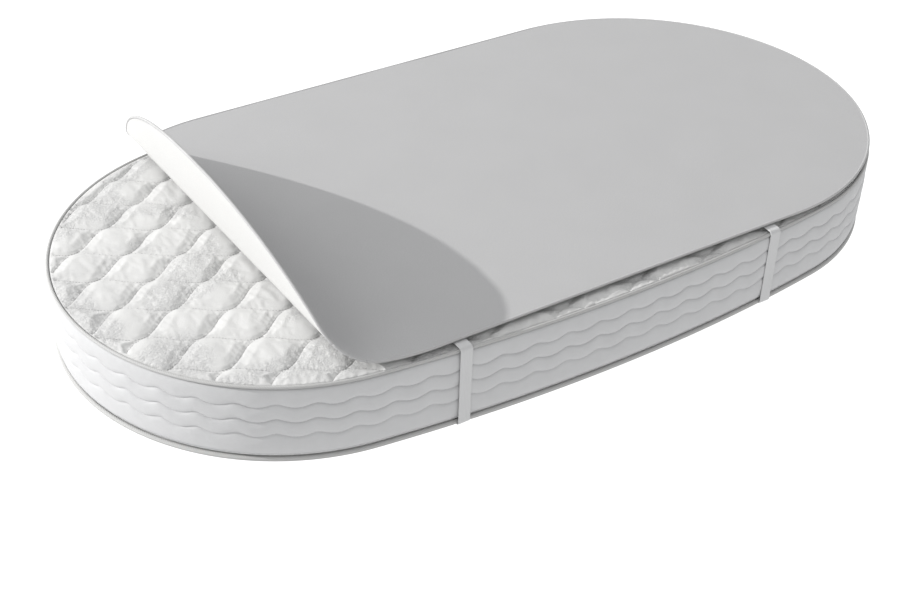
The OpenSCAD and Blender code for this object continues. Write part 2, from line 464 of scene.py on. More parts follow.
def protector_face():
    f = Finish("protector_face", 0.82, sheen=0.12, surface=True)
    base = tuple(colours().face)
    flecks = f.noise(0.0014, 2.0, 0.7)
    cloud = f.ramp(f.noise(0.09, 3.0, 0.55), 0.3, 0.7)
    tone = f.blend(f.ramp(flecks, 0.35, 0.7), shade(base, 1.07), shade(base, 0.90))
    tone = f.blend(f.math("MULTIPLY", cloud, 0.25), tone, shade(base, 0.93))
    knit = plain_weave(f, 0.0009)
    return f.done(tone, f.relief(f.noise(0.0025, 2.0), 0.0003, 0.35, f.relief(knit, 0.0002, 0.4)))


def protector_backing():
    f = Finish("protector_backing", 0.7, sheen=0.1, surface=True)
    base = tuple(colours().backing)
    loops = f.cells(0.0016)
    tone = f.blend(f.ramp(loops, 0.1, 0.7, 0, 0.5), base, shade(base, 0.88))
    tone = f.blend(f.ramp(f.noise(0.05, 2.0), 0.4, 0.7, 0, 0.3), tone, shade(base, 0.94))
    return f.done(tone, f.relief(loops, 0.0003, 0.4))


def binding_tape():
    f = Finish("binding_tape", 0.68, sheen=0.1, surface=True)
    base = tuple(colours().binding)
    cross = f.ribs(0.0010, "X")
    tone = f.blend(f.math("MULTIPLY", cross, 0.3), base, shade(base, 0.78))
    tone = f.blend(f.ramp(f.noise(0.012, 2.0), 0.4, 0.7, 0, 0.4), tone, shade(base, 0.92))
    return f.done(tone, f.relief(cross, 0.0003, 0.5))


def strap_elastic():
    f = Finish("strap_elastic", 0.7, sheen=0.1, surface=True)
    base = tuple(colours().elastic)
    picks = f.ribs(0.0008, "X")
    cords = f.ribs(0.0022, "Y")
    tone = f.blend(f.math("MULTIPLY", cords, 0.25), base, shade(base, 0.8))
    tone = f.blend(f.math("MULTIPLY", picks, 0.2), tone, shade(base, 0.75))
    return f.done(tone, f.relief(picks, 0.0002, 0.5, f.relief(cords, 0.0004, 0.5)))


def zip_tape():
    f = Finish("zip_tape", 0.75, sheen=0.1)
    base = (0.5, 0.5, 0.5)
    herring = f.ribs(0.0009, "DIAGONAL", 0.3)
    tone = f.blend(f.math("MULTIPLY", herring, 0.4), base, shade(base, 0.7))
    return f.done(tone, f.relief(herring, 0.0003, 0.5))


def zip_coil():
    f = Finish("zip_coil", 0.35)
    base = (0.55, 0.555, 0.56)
    tone = f.blend(f.ramp(f.noise(0.004, 2.0), 0.4, 0.7), base, shade(base, 0.85))
    return f.done(tone, f.relief(f.noise(0.0006, 1.0), 0.0001, 0.3))


def zip_metal():
    f = Finish("zip_metal", 0.3, metallic=1.0)
    scratches = f.noise(0.0012, 4.0, 0.7, place=f.scaled(0.15, 1, 1))
    worn = f.noise(0.006, 3.0)
    tone = f.blend(f.ramp(worn, 0.35, 0.7), (0.66, 0.66, 0.65), (0.48, 0.48, 0.47))
    rough = f.ramp(scratches, 0.3, 0.7, 0.22, 0.42)
    return f.done(tone, f.relief(scratches, 0.00006, 0.4), rough)


def base_ticking():
    f = Finish("base_ticking", 0.85, sheen=0.1)
    base = (0.52, 0.52, 0.515)
    loops = f.cells(0.0024)
    dots = f.ramp(f.cells(0.012), 0.16, 0.22, 1, 0)
    tone = f.blend(f.ramp(loops, 0.1, 0.6), base, shade(base, 0.82))
    tone = f.blend(f.math("MULTIPLY", dots, 0.5), tone, shade(base, 0.6))
    return f.done(tone, f.relief(dots, 0.0006, 0.7, f.relief(loops, 0.0004, 0.6)))


def fibre(name, base, size, spread, stretch=1.0):
    f = Finish(name, 0.9, sheen=0.15)
    strands = f.noise(size, 4.0, 0.75, place=f.scaled(1, 1, stretch), distort=2.0)
    tone = f.blend(f.ramp(strands, 0.35, 0.65), shade(base, 1 + spread), shade(base, 1 - spread))
    return f.done(tone, f.relief(strands, size * 0.6, 0.8))


def foam(name, base, size):
    f = Finish(name, 0.85)
    pores = f.cells(size)
    big = f.cells(size * 4)
    tone = f.blend(f.ramp(pores, 0.15, 0.6), shade(base, 0.72), base)
    tone = f.blend(f.ramp(big, 0.05, 0.2, 0.5, 0), tone, shade(base, 0.6))
    return f.done(tone, f.relief(pores, size * 0.5, 0.8))


def thread(name, base):
    f = Finish(name, 0.5, sheen=0.1)
    ply = f.noise(0.0005, 2.0, place=f.scaled(1, 1, 3))
    tone = f.blend(f.ramp(ply, 0.35, 0.65), base, shade(base, 0.75))
    return f.done(tone, f.relief(ply, 0.0001, 0.5))


def patch_cloth():
    f = Finish("patch_cloth", 0.8, sheen=0.1)
    twill = f.ribs(0.0008, "DIAGONAL", 0.2)
    tone = f.blend(f.math("MULTIPLY", twill, 0.4), (0.5, 0.5, 0.5), (0.38, 0.38, 0.38))
    return f.done(tone, f.relief(twill, 0.0003, 0.5))


# ---------------------------------------------------------------- repeats made by node trees

class Tree:
    """A geometry node group under construction."""

    def __init__(self, name, inputs):
        self.group = bpy.data.node_groups.new(name, "GeometryNodeTree")
        face = self.group.interface
        face.new_socket("Geometry", in_out="INPUT", socket_type="NodeSocketGeometry")
        self.keys = {}
        for label, (kind, default) in inputs.items():
            socket = face.new_socket(label, in_out="INPUT", socket_type="NodeSocket" + kind)
            if default is not None:
                socket.default_value = default
            self.keys[label] = socket.identifier
        face.new_socket("Geometry", in_out="OUTPUT", socket_type="NodeSocketGeometry")
        self.start = self.group.nodes.new("NodeGroupInput")
        self.end = self.group.nodes.new("NodeGroupOutput")

    def add(self, kind, inputs=None, **settings):
        node = self.group.nodes.new(kind)
        for key, value in settings.items():
            setattr(node, key, value)
        for key, value in (inputs or {}).items():
            if isinstance(value, bpy.types.NodeSocket):
                self.group.links.new(value, node.inputs[key])
            else:
                node.inputs[key].default_value = value
        return node


def stitch_tree():
    """Short stitches laid end to end along lines, each a slim rounded bead of thread."""
    tree = Tree("stitches", {
        "Pitch": ("Float", 0.0045), "Length": ("Float", 0.0032), "Thickness": ("Float", 0.0007),
        "Unevenness": ("Float", 0.12), "Seed": ("Int", 3), "Thread": ("Material", None)})
    take = tree.start.outputs
    line = tree.add("GeometryNodeMeshToCurve", {0: take["Geometry"]})
    spots = tree.add("GeometryNodeCurveToPoints", {"Curve": line.outputs[0],
                                                   "Length": take["Pitch"]}, mode="LENGTH")
    bead = tree.add("GeometryNodeMeshIcoSphere", {"Radius": 0.5, "Subdivisions": 1})
    smooth = tree.add("GeometryNodeSetShadeSmooth", {0: bead.outputs[0]})
    uneven = tree.add("FunctionNodeRandomValue", {"Seed": take["Seed"]}, data_type="FLOAT")
    low_end = tree.add("ShaderNodeMath", {0: 1.0, 1: take["Unevenness"]}, operation="SUBTRACT")
    tree.group.links.new(low_end.outputs[0], uneven.inputs[2])
    uneven.inputs[3].default_value = 1.0
    length = tree.add("ShaderNodeMath", {0: take["Length"], 1: uneven.outputs[1]},
                      operation="MULTIPLY")
    size = tree.add("ShaderNodeCombineXYZ", {0: take["Thickness"], 1: take["Thickness"],
                                             2: length.outputs[0]})
    put = tree.add("GeometryNodeInstanceOnPoints", {
        "Points": spots.outputs["Points"], "Instance": smooth.outputs[0],
        "Rotation": spots.outputs["Rotation"], "Scale": size.outputs[0]})
    real = tree.add("GeometryNodeRealizeInstances", {0: put.outputs[0]})
    dress = tree.add("GeometryNodeSetMaterial", {0: real.outputs[0], "Material": take["Thread"]})
    tree.group.links.new(dress.outputs[0], tree.end.inputs[0])
    return tree


def tooth_tree():
    """Coil teeth standing side by side along the zip."""
    tree = Tree("teeth", {
        "Pitch": ("Float", 0.0015), "Height": ("Float", 0.0029), "Depth": ("Float", 0.0015),
        "Width": ("Float", 0.0010), "Coil": ("Material", None)})
    take = tree.start.outputs
    line = tree.add("GeometryNodeMeshToCurve", {0: take["Geometry"]})
    spots = tree.add("GeometryNodeCurveToPoints", {"Curve": line.outputs[0],
                                                   "Length": take["Pitch"]}, mode="LENGTH")
    loop = tree.add("GeometryNodeMeshUVSphere", {"Segments": 8, "Rings": 5, "Radius": 0.5})
    smooth = tree.add("GeometryNodeSetShadeSmooth", {0: loop.outputs[0]})
    upright = tree.add("FunctionNodeAlignRotationToVector", {
        "Rotation": spots.outputs["Rotation"], "Vector": (0.0, 0.0, 1.0)},
        axis="X", pivot_axis="Z")
    size = tree.add("ShaderNodeCombineXYZ", {0: take["Height"], 1: take["Depth"],
                                             2: take["Width"]})
    put = tree.add("GeometryNodeInstanceOnPoints", {
        "Points": spots.outputs["Points"], "Instance": smooth.outputs[0],
        "Rotation": upright.outputs[0], "Scale": size.outputs[0]})
    real = tree.add("GeometryNodeRealizeInstances", {0: put.outputs[0]})
    dress = tree.add("GeometryNodeSetMaterial", {0: real.outputs[0], "Material": take["Coil"]})
    tree.group.links.new(dress.outputs[0], tree.end.inputs[0])
    return tree


def along_lines(name, tree, lines, values):
    """Runs a node tree over open or closed lines of points; the result is a plain mesh."""
    verts, edges = [], []
    for points, closed in lines:
        first = len(verts)
        verts += [tuple(map(float, p)) for p in points]
        n = len(points)
        edges += [(first + i, first + (i + 1) % n) for i in range(n if closed else n - 1)]
    mesh = bpy.data.meshes.new(name + "_lines")
    mesh.from_pydata(verts, edges, [])
    guide = bpy.data.objects.new(name + "_lines", mesh)
    bpy.context.scene.collection.objects.link(guide)
    mod = guide.modifiers.new(name, "NODES")
    mod.node_group = tree.group
    for label, value in values.items():
        mod[tree.keys[label]] = value
    bpy.context.view_layer.update()
    seen = guide.evaluated_get(bpy.context.evaluated_depsgraph_get())
    made = bpy.data.meshes.new_from_object(seen)
    made.name = name
    material = next(v for v in values.values() if isinstance(v, bpy.types.Material))
    if not made.materials:
        made.materials.append(material)
    obj = bpy.data.objects.new(name, made)
    bpy.context.scene.collection.objects.link(obj)
    bpy.data.objects.remove(guide)
    return obj


# ---------------------------------------------------------------- quilted top

QUILT_IN = HALF_L - high("quilted_top").x
QUILT_FLOOR = low("quilted_top").z
RIM_Z = QUILT_FLOOR + 3.3 * MM
SEAM_Z = QUILT_FLOOR + 0.9 * MM
UNDER_SHEET = BACKING_LOW - 0.4 * MM
STRAPS = [(low(n).x + high(n).x) / 2 for n in ("strap_left", "strap_right")]
STRAP_W = high("strap_right").x - low("strap_right").x
PUFF_TOP = 124.6 * MM
SWELL_FRAMES = 12
SPARE_CLOTH = 0.018
SLIDE_LIMIT = 4 * MM
SEAM_STEP, HIDDEN_SEAM_STEP = 2.8 * MM, 8 * MM
STRAP_CLEAR = 24 * MM
STRAP_FROM_MIDDLE = 0.25
PUFF_RUN = 15 * MM
NODE_X, NODE_Y = -0.453, 0.118


def quilt_lines():
    """Wavy rows whose crests meet the next row's troughs, which leaves onion-shaped puffs."""
    s = sizes()
    rows = []
    first = NODE_Y - s.quilt_step / 2
    for k in range(-14, 10):
        sign = 1 if k % 2 == 0 else -1
        rows.append((first + k * s.quilt_step, sign * s.quilt_swing))
    return rows


def quilt_row_y(row, x):
    base, swing = row
    return base + swing * np.cos(FULL_TURN * (x - NODE_X) / sizes().quilt_wave)


def from_strap(x):
    """Distance along the mattress from the nearer strap's middle."""
    return np.minimum(np.abs(x - STRAPS[0]), np.abs(x - STRAPS[1]))


def in_oval(x, y, inset):
    """True where a point lies at least the inset inside the mattress's outline."""
    r, c, side, sink, join = oval()
    ax, ay = np.abs(x), np.abs(y)
    at_end = np.arctan2(ay, ax - c) < join
    d_end = r - np.hypot(ax - c, ay)
    d_side = side - np.hypot(ax, ay + sink)
    return np.where(at_end & (ax > c - 1e-9), d_end, d_side) >= inset


def fine_zone(x, y):
    """1 where the quilting shows, and 0 under the protector."""
    shows = x < LIFT_X + 15 * MM
    near_rim = (y < SHEET_NEAR + 30 * MM) | ~in_oval(x, y, 30 * MM)
    return shows | near_rim


def quilt_points():
    """Points for the quilting's mesh, its outline, its seams and which points are sewn down."""
    fine, coarse, gap = 3.0 * MM, 11 * MM, 0.62
    edge, _, _, _ = outline(900, QUILT_IN)
    pts = [tuple(p) for p in edge]
    n_edge = len(pts)
    links = [(i, (i + 1) % n_edge) for i in range(n_edge)]
    seams = []
    for row in quilt_lines():
        xs, x = [], -HALF_L
        while x < HALF_L:
            y = float(quilt_row_y(row, x))
            shows = fine_zone(np.array(x), np.array(y))
            xs.append(x)
            x += SEAM_STEP if shows else HIDDEN_SEAM_STEP
        xs = np.array(xs)
        ys = quilt_row_y(row, xs)
        inside = in_oval(xs, ys, QUILT_IN + 2.2 * MM)
        run = []
        for x, y, ok in zip(xs, ys, inside):
            if ok:
                run.append((float(x), float(y)))
            if (not ok or x == xs[-1]) and len(run) > 1:
                seams.append(run)
                run = []
            elif not ok:
                run = []
    for run in seams:
        first = len(pts)
        pts += run
        links += [(first + i, first + i + 1) for i in range(len(run) - 1)]
    n_fixed = len(pts)
    fixed = np.array(pts)
    loose = []
    for step in (fine, coarse):
        x, y = staggered(step)
        zone = fine_zone(x, y)
        keep = (zone if step == fine else ~zone) & in_oval(x, y, QUILT_IN + gap * step)
        loose.append((np.stack([x[keep], y[keep]], -1), gap * step))
    for cloud, clear in loose:
        keep = np.ones(len(cloud), bool)
        for begin in range(0, len(cloud), 2000):
            part = cloud[begin:begin + 2000]
            d2 = ((part[:, None, :] - fixed[None, :, :]) ** 2).sum(-1).min(1)
            keep[begin:begin + 2000] = d2 > clear ** 2
        pts += [tuple(map(float, p)) for p in cloud[keep]]
    return pts, links, n_edge, n_fixed, seams


def swell(obj, sewn):
    """Fills a sewn cloth with pressure; the sewn points stay where they are."""
    group = obj.vertex_groups.new(name="sewn")
    group.add([int(i) for i in sewn], 1.0, "REPLACE")
    scene = bpy.context.scene
    scene.frame_start, scene.frame_end = 1, SWELL_FRAMES
    scene.frame_set(1)
    fill = obj.modifiers.new("Fill", "CLOTH")
    cloth = fill.settings
    cloth.vertex_group_mass = "sewn"
    cloth.quality = 5
    cloth.mass = 0.25
    cloth.tension_stiffness = cloth.compression_stiffness = 18
    cloth.shear_stiffness = 6
    cloth.bending_stiffness = 0.6
    cloth.air_damping = 3
    cloth.use_pressure = True
    cloth.uniform_pressure_force = sizes().fill_pressure
    cloth.effector_weights.gravity = 0
    cloth.shrink_min = -SPARE_CLOTH
    fill.point_cache.frame_start, fill.point_cache.frame_end = 1, SWELL_FRAMES
    for step in range(1, SWELL_FRAMES + 1):
        scene.frame_set(step)
    seen = obj.evaluated_get(bpy.context.evaluated_depsgraph_get())
    co = mesh_points(seen)
    obj.modifiers.remove(fill)
    obj.vertex_groups.clear()
    scene.frame_set(1)
    return co


def by_hand(flat, fixed):
    """Round puffs: the height grows quickly beside the seams and slowly further in."""
    d = np.zeros(len(flat))
    for begin in range(0, len(flat), 2000):
        part = flat[begin:begin + 2000, None, :2] - fixed[None, :, :2]
        d[begin:begin + 2000] = np.sqrt((part ** 2).sum(-1).min(1))
    out = flat.copy()
    out[:, 2] += sizes().puff_height * np.clip(d / PUFF_RUN, 0, 1) ** 0.55
    return out


def make_quilt():
    pts, links, n_edge, n_fixed, seams = quilt_points()
    flat, faces, source = triangulate(pts, links, SEAM_Z)
    rim, sewn = source < n_edge, source < n_fixed
    flat[rim, 2] = RIM_Z
    obj = add_mesh("quilted_top_cover", flat, faces, quilt_ticking())
    turn = flat[faces[0]]
    if np.cross(turn[1] - turn[0], turn[2] - turn[0])[2] < 0:
        obj.data.flip_normals()
    moved = by_hand(flat, flat[sewn])
    obj.data.vertices.foreach_set("co", moved.ravel())
    moved = swell(obj, np.nonzero(sewn)[0])
    shift = moved - flat
    slide = np.linalg.norm(shift[:, :2], axis=1)
    shift[:, :2] *= (np.minimum(slide, SLIDE_LIMIT) / np.maximum(slide, 1e-9))[:, None]
    moved = flat + shift
    x, y = flat[:, 0], flat[:, 1]
    covered = (x > LIFT_X - 8 * MM) & (np.abs(y - SHEET_MID) < SHEET_HALF)
    under_strap = (from_strap(x) < STRAP_CLEAR) & (np.abs(y) > STRAP_FROM_MIDDLE)
    ceiling = np.full(len(flat), PUFF_TOP)
    ceiling[covered] = UNDER_SHEET
    ceiling[under_strap] = high("strap_left").z - 2.2 * MM
    rise = moved[:, 2] - SEAM_Z
    room = ceiling - SEAM_Z
    moved[:, 2] = SEAM_Z + np.where(rise > 0, room * np.tanh(rise / room), rise)
    moved[:, 2] = np.clip(moved[:, 2], SEAM_Z - 0.2 * MM, ceiling)
    obj.data.vertices.foreach_set("co", moved.ravel())
    close_flat(obj, QUILT_FLOOR, lambda face: face.normal.z > -0.9)
    settle(obj, "ticking", "quilted_top")
    stitch_quilt(seams)


def stitch_quilt(seams):
    """Thread along the quilting's seams, where the peeled end leaves them open to view."""
    lines = []
    for run in seams:
        shown = [(x, y, SEAM_Z + 0.35 * MM) for x, y in run if x < LIFT_X - 4 * MM]
        if len(shown) > 2:
            lines.append((shown, False))
    sewn = along_lines("quilt_stitches", stitch_tree(), lines, {
        "Pitch": 3.9 * MM, "Length": sizes().stitch_length, "Thickness": 0.75 * MM,
        "Thread": thread("quilt_thread", (0.40, 0.40, 0.395))})
    settle(sewn, "ticking")


# ---------------------------------------------------------------- border and pipings

BORDER_LOW = low("border_band").z
BORDER_TOP = high("border_band").z
STITCH_HEIGHTS = [41 * MM, 63.5 * MM, 86 * MM]
CREST_X = -0.390


def wave_phase():
    """Distance along the outline of a wave crest on the near side."""
    place, _, s, _ = outline(2000)
    near = place[:, 1] < -0.2
    return s[near][np.argmin(np.abs(place[near, 0] - CREST_X))]


def wave_rise(s, total):
    turn = FULL_TURN * sizes().wave_count * (s - wave_phase()) / total
    return sizes().wave_height * (np.cos(turn) + 0.12 * np.cos(2 * turn))


def make_border():
    columns = 1000
    spread = [0, 0.035, 0.08, 0.15, 0.27, 0.42, 0.58, 0.73, 0.85, 0.92, 0.965]
    place, out, s, total = outline(columns)
    rise = wave_rise(s, total)
    flat = np.zeros(columns)
    hang = 3.2 * MM * np.clip((0.25 - place[:, 1]) / 0.08, 0, 1)
    levels = [BORDER_LOW + 0.4 * MM - hang] + [h + rise for h in STITCH_HEIGHTS] \
        + [BORDER_TOP - 0.2 * MM + flat]
    sunk = [3.2 * MM] + [2.0 * MM] * len(STITCH_HEIGHTS) + [2.4 * MM]
    z_rows, inset_rows = [], []
    for i in range(len(levels) - 1):
        for t in spread:
            z = levels[i] * (1 - t) + levels[i + 1] * t
            edge = 1 - abs(2 * t - 1)
            puff = 0.62 * (1 - math.exp(-edge / 0.11)) + 0.38 * (1 - (1 - edge) ** 2)
            points = np.c_[place, z]
            slow = 1 + 0.25 * soft_noise(points, 0.045, i + 1)
            gather = soft_noise(np.c_[s, z * 0.35, flat], 0.008, 7)
            gather = gather * math.exp(-edge / 0.4) * 0.3 * MM
            base = sunk[i] * (1 - t) + sunk[i + 1] * t
            inset_rows.append(base - sizes().border_puff * puff * slow - gather * (t > 0))
            z_rows.append(z)
    z_rows.append(levels[-1])
    inset_rows.append(flat + sunk[-1])
    inner = 5.7 * MM
    for z in (BORDER_TOP - 0.2 * MM, BORDER_LOW + 0.2 * MM):
        z_rows.append(z - hang * (z < 0.05))
        inset_rows.append(flat + inner)
    z, inset = np.array(z_rows).T, np.array(inset_rows).T
    verts = np.zeros((*z.shape, 3))
    verts[:, :, :2] = place[:, None] - out[:, None] * inset[:, :, None]
    verts[:, :, 2] = z
    uv = np.stack([np.broadcast_to(s[:, None], z.shape), z], -1)
    obj = add_mesh("border_cover", verts.reshape(-1, 3),
                   grid_faces(columns, z.shape[1], True, True), border_ticking(),
                   uv.reshape(-1, 2), wrap=total)
    settle(obj, "border_ticking", "border_band")
    lines = []
    for i, h in enumerate(STITCH_HEIGHTS):
        spot = place - out * (1.9 * MM)
        lines.append((np.c_[spot, h + rise], True))
    stitches = along_lines("border_stitches", stitch_tree(), lines, {
        "Pitch": 4.4 * MM, "Length": sizes().stitch_length, "Thickness": 0.75 * MM,
        "Thread": thread("border_thread", (0.5, 0.5, 0.505))})
    settle(stitches, "border_ticking")


def cord_section(radius, inset, height, sides=14):
    a = np.arange(sides) * FULL_TURN / sides
    return np.stack([inset - radius * np.cos(a), height + radius * np.sin(a)], -1)


def make_pipings():
    cord = piping_cord()
    for node in ("bottom_piping", "top_piping"):
        lo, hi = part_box(node)
        full = (hi.z - lo.z) / 2
        radius = full * (0.82 if node == "bottom_piping" else 0.9)
        height = lo.z + radius + (0.1 * MM if node == "bottom_piping" else full - radius)
        inset = HALF_L - hi.x + radius
        obj = round_the_rim(node + "_cord", cord_section(radius, inset, height), 760, cord)
        if node == "bottom_piping":
            press_for_straps(obj)
        face_outwards(obj)
        settle(obj, "piping", node)


def press_for_straps(obj):
    """Lifts the cord's underside clear of the straps that pass below it."""
    co = mesh_points(obj)
    reach = from_strap(co[:, 0]) - STRAP_W / 2
    room = np.clip(1 - (reach - 1 * MM) / (6 * MM), 0, 1) * 2.1 * MM
    co[:, 2] = np.maximum(co[:, 2], room)
    obj.data.vertices.foreach_set("co", co.ravel())


def mesh_points(obj):
    co = np.zeros(len(obj.data.vertices) * 3)
    obj.data.vertices.foreach_get("co", co)
    return co.reshape(-1, 3)


# ---------------------------------------------------------------- protector

CUTS = [LIFT_X - i * FOLD_PITCH for i in range(1, FOLDS)]
BEND_NAMES = ["main", "bend_1", "bend_2", "end"]


def curl(x, y, h):
    """Where a point of the flat protector lies with its end peeled up; h is its height
    above the plane of the fold lines."""
    along = np.maximum(LIFT_X - x, 0)
    a = np.minimum(along, CURL_LEN) / CURL_LEN * CURL_ANGLE
    straight = np.maximum(along - CURL_LEN, 0)
    r = CURL_R - h
    px = LIFT_X + np.maximum(x - LIFT_X, 0) - r * np.sin(a) - straight * np.cos(a)
    pz = FOLD_Z + CURL_R - r * np.cos(a) + straight * np.sin(a)
    return np.stack(np.broadcast_arrays(px, y, pz), -1)


def sheet_half(x, trim=0.0):
    """Half the protector's width at x, with its edge trimmed by an amount."""
    s = sizes()
    right_c = SHEET_RIGHT - SHEET_HALF
    reach = SHEET_HALF - trim
    right = np.sqrt(np.maximum(reach ** 2 - np.maximum(x - right_c, 0) ** 2, 0))
    left_c = s.sheet_left + s.left_depth
    q = np.clip((left_c - x) / (s.left_depth - trim), 0, 1) ** (1 / 0.92)
    left = reach * np.sqrt(np.maximum(1 - q * q, 0)) ** 0.92
    return np.minimum(right, left)


def sheet_rows(trim):
    """Positions along the protector, from its right end to its left, cuts included."""
    right_c = SHEET_RIGHT - SHEET_HALF
    reach = SHEET_HALF - trim
    tip = sizes().sheet_left + trim
    rows = list(right_c + reach * np.cos(np.radians(np.arange(1, 90, 3))))
    rows += list(np.linspace(right_c, LIFT_X, 56))
    rows += list(LIFT_X - FOLD_PITCH * np.arange(1, FOLDS * 16 + 1) / 16)
    last = LIFT_X - CURL_LEN
    rows += list(last - (last - tip) * np.sin(np.radians(np.arange(3, 90, 3))))
    return np.array(rows)


def sway(x, y):
    """Slight unevenness of the cloth where it lies on the quilting."""
    points = np.stack([x, y, np.zeros_like(x)], -1).reshape(-1, 3)
    bumps = soft_noise(points, 0.075, 4) * 0.35 * MM
    return bumps.reshape(x.shape)


def make_layer(layer, h_top, h_low, material, trim):
    """One cloth of the protector, in four pieces that meet in the middle of the flap's panels."""
    x_rows = sheet_rows(trim)
    cols = 61
    t = np.sin(np.linspace(-1, 1, cols) * math.pi / 2)
    width = np.maximum(sheet_half(x_rows, trim), 1 * MM)
    x = np.repeat(x_rows[:, None], cols, 1)
    y = SHEET_MID + width[:, None] * t
    lift = sway(x, y)
    skins = []
    for h, side in ((h_top, 1), (h_low, -1)):
        p = curl(x, y, h + lift)
        across, along = np.gradient(p, axis=1), np.gradient(p, axis=0)
        n = np.cross(across, -along)
        n /= np.maximum(np.linalg.norm(n, axis=-1, keepdims=True), 1e-12)
        if n[10, cols // 2, 2] < 0:
            n = -n
        skins.append((p, n * side))
    (top, n_top), (under, n_under) = skins
    verts = np.concatenate([top, under[:, ::-1]], 1)
    normals = np.concatenate([n_top, n_under[:, ::-1]], 1)
    uv = np.concatenate([np.stack([x, y], -1), np.stack([x, y], -1)[:, ::-1]], 1)
    ring = 2 * cols
    marks = [0] + [int(np.argmin(np.abs(x_rows - c))) for c in CUTS] + [len(x_rows) - 1]
    for i, (a, b) in enumerate(zip(marks, marks[1:])):
        n_rows = b - a + 1
        faces = grid_faces(n_rows, ring, False, True)
        for row in (0, n_rows - 1):
            first = row * ring
            faces += [[first + j, first + j + 1, first + ring - 2 - j, first + ring - 1 - j]
                      for j in range(cols - 1)]
        piece = slice(a, b + 1)
        obj = add_mesh(f"protector_{layer}_{BEND_NAMES[i]}", verts[piece].reshape(-1, 3), faces,
                       material, uv[piece].reshape(-1, 2))
        face_outwards(obj)
        obj.data.normals_split_custom_set_from_vertices(normals[piece].reshape(-1, 3).tolist())
        nodes = [f"flap_{i + 1}_{layer}"] + ([f"protector_{layer}"] if i == 0 else [])
        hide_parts(*nodes)
        fold(obj, i)


def fold(obj, i):
    """Bakes a piece of the protector's placement into its mesh; the ends of the flap's fold line i
    are worked out but not used.
    """
    start, end = (curl(np.array(LIFT_X - k * FOLD_PITCH), np.array(SHEET_MID), np.array(0.0))
                  for k in (i, i + 1))
    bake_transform(obj)


def edge_line():
    """The protector's outline from its left tip by the near side, with outward directions."""
    right_c = SHEET_RIGHT - SHEET_HALF
    s = sizes()
    a = np.radians(np.r_[np.arange(0, 12, 0.75), np.arange(12, 91, 2.5)])
    left = s.sheet_left + s.left_depth - s.left_depth * np.cos(a) ** 0.92
    curl_rows = LIFT_X - FOLD_PITCH * np.arange(0, FOLDS * 8 + 1) / 8
    xs = np.r_[left, curl_rows, np.linspace(s.sheet_left + s.left_depth, right_c, 60)]
    xs = np.sort(xs)
    xs = xs[np.r_[True, np.diff(xs) > 0.4 * MM]]
    for c in CUTS:
        xs[np.argmin(np.abs(xs - c))] = c
    xs = np.r_[xs[xs < right_c - 1e-6], right_c + SHEET_HALF * np.sin(np.radians(
        np.arange(0, 90.1, 2.5)))]
    half = sheet_half(xs)
    half[0] = half[-1] = 0
    near = np.stack([xs, SHEET_MID - half], -1)
    far = np.stack([xs, SHEET_MID + half], -1)[::-1][1:-1]
    line = np.concatenate([near, far])
    tangent = np.roll(line, -1, 0) - np.roll(line, 1, 0)
    tangent /= np.linalg.norm(tangent, axis=1, keepdims=True)
    return line, np.stack([tangent[:, 1], -tangent[:, 0]], -1)


def runs(line, lo, hi):
    """Unbroken stretches of the outline between two positions, in order round it."""
    on = (line[:, 0] <= hi + 1e-7) & (line[:, 0] >= lo - 1e-7)
    n = len(line)
    begin = [i for i in range(n) if on[i] and not on[i - 1]]
    out = []
    for b in begin:
        run = []
        while on[b % n]:
            run.append(b % n)
            b += 1
        out.append(run)
    return out


BINDING_SECTION = np.array([
    (-3.4, 1.56), (-2.6, 1.74), (-1.6, 1.8), (-0.8, 1.6), (-0.25, 1.05), (0, 0.4), (0, -0.4),
    (-0.25, -1.05), (-0.8, -1.6), (-1.6, -1.8), (-2.6, -1.74), (-3.4, -1.56)]) * MM


def make_binding():
    line, out = edge_line()
    walk = np.r_[0, np.cumsum(np.linalg.norm(np.diff(line, axis=0), axis=1))]
    mid = (low("protector_binding").z + high("protector_binding").z) / 2 - FOLD_Z
    tape, sewing = binding_tape(), thread("binding_thread", (0.52, 0.52, 0.53))
    tree = stitch_tree()
    section = BINDING_SECTION
    k = len(section)
    bounds = [SHEET_RIGHT + 1] + CUTS + [-1]
    for i, name in enumerate(BEND_NAMES):
        verts, faces, uv, rows = [], [], [], []
        for run in runs(line, bounds[i + 1], bounds[i]):
            first = len(verts)
            p, n, w = line[run], out[run], walk[run]
            w = np.where(w < w[0] - 1, w + walk[-1], w)
            flat = p[:, None] + n[:, None] * section[None, :, :1]
            ring = curl(flat[..., 0], flat[..., 1], mid + section[None, :, 1])
            verts += list(ring.reshape(-1, 3))
            faces += grid_faces(len(run), k, False, True, first)
            faces += [list(range(first, first + k)),
                      list(range(first + (len(run) - 1) * k, first + len(run) * k))]
            turn = np.r_[0, np.cumsum(np.linalg.norm(np.diff(section, axis=0), axis=1))]
            uv += list(np.stack(np.broadcast_arrays(w[:, None], turn[None]), -1).reshape(-1, 2))
            for h in (1.72 * MM, -1.72 * MM):
                at = p - n * 2.3 * MM
                rows.append((curl(at[:, 0], at[:, 1], mid + h), False))
        obj = add_mesh(f"protector_binding_{name}", verts, faces, tape, uv)
        face_outwards(obj)
        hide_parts(f"flap_{i + 1}_binding", *(["protector_binding"] if i == 0 else []))
        sewn = along_lines(f"binding_stitches_{name}", tree, rows, {
            "Pitch": 3.6 * MM, "Length": 2.7 * MM, "Thickness": 0.6 * MM, "Thread": sewing})
        for part in (obj, sewn):
            fold(part, i)


# ---------------------------------------------------------------- straps

STRAP_T = 1.5 * MM


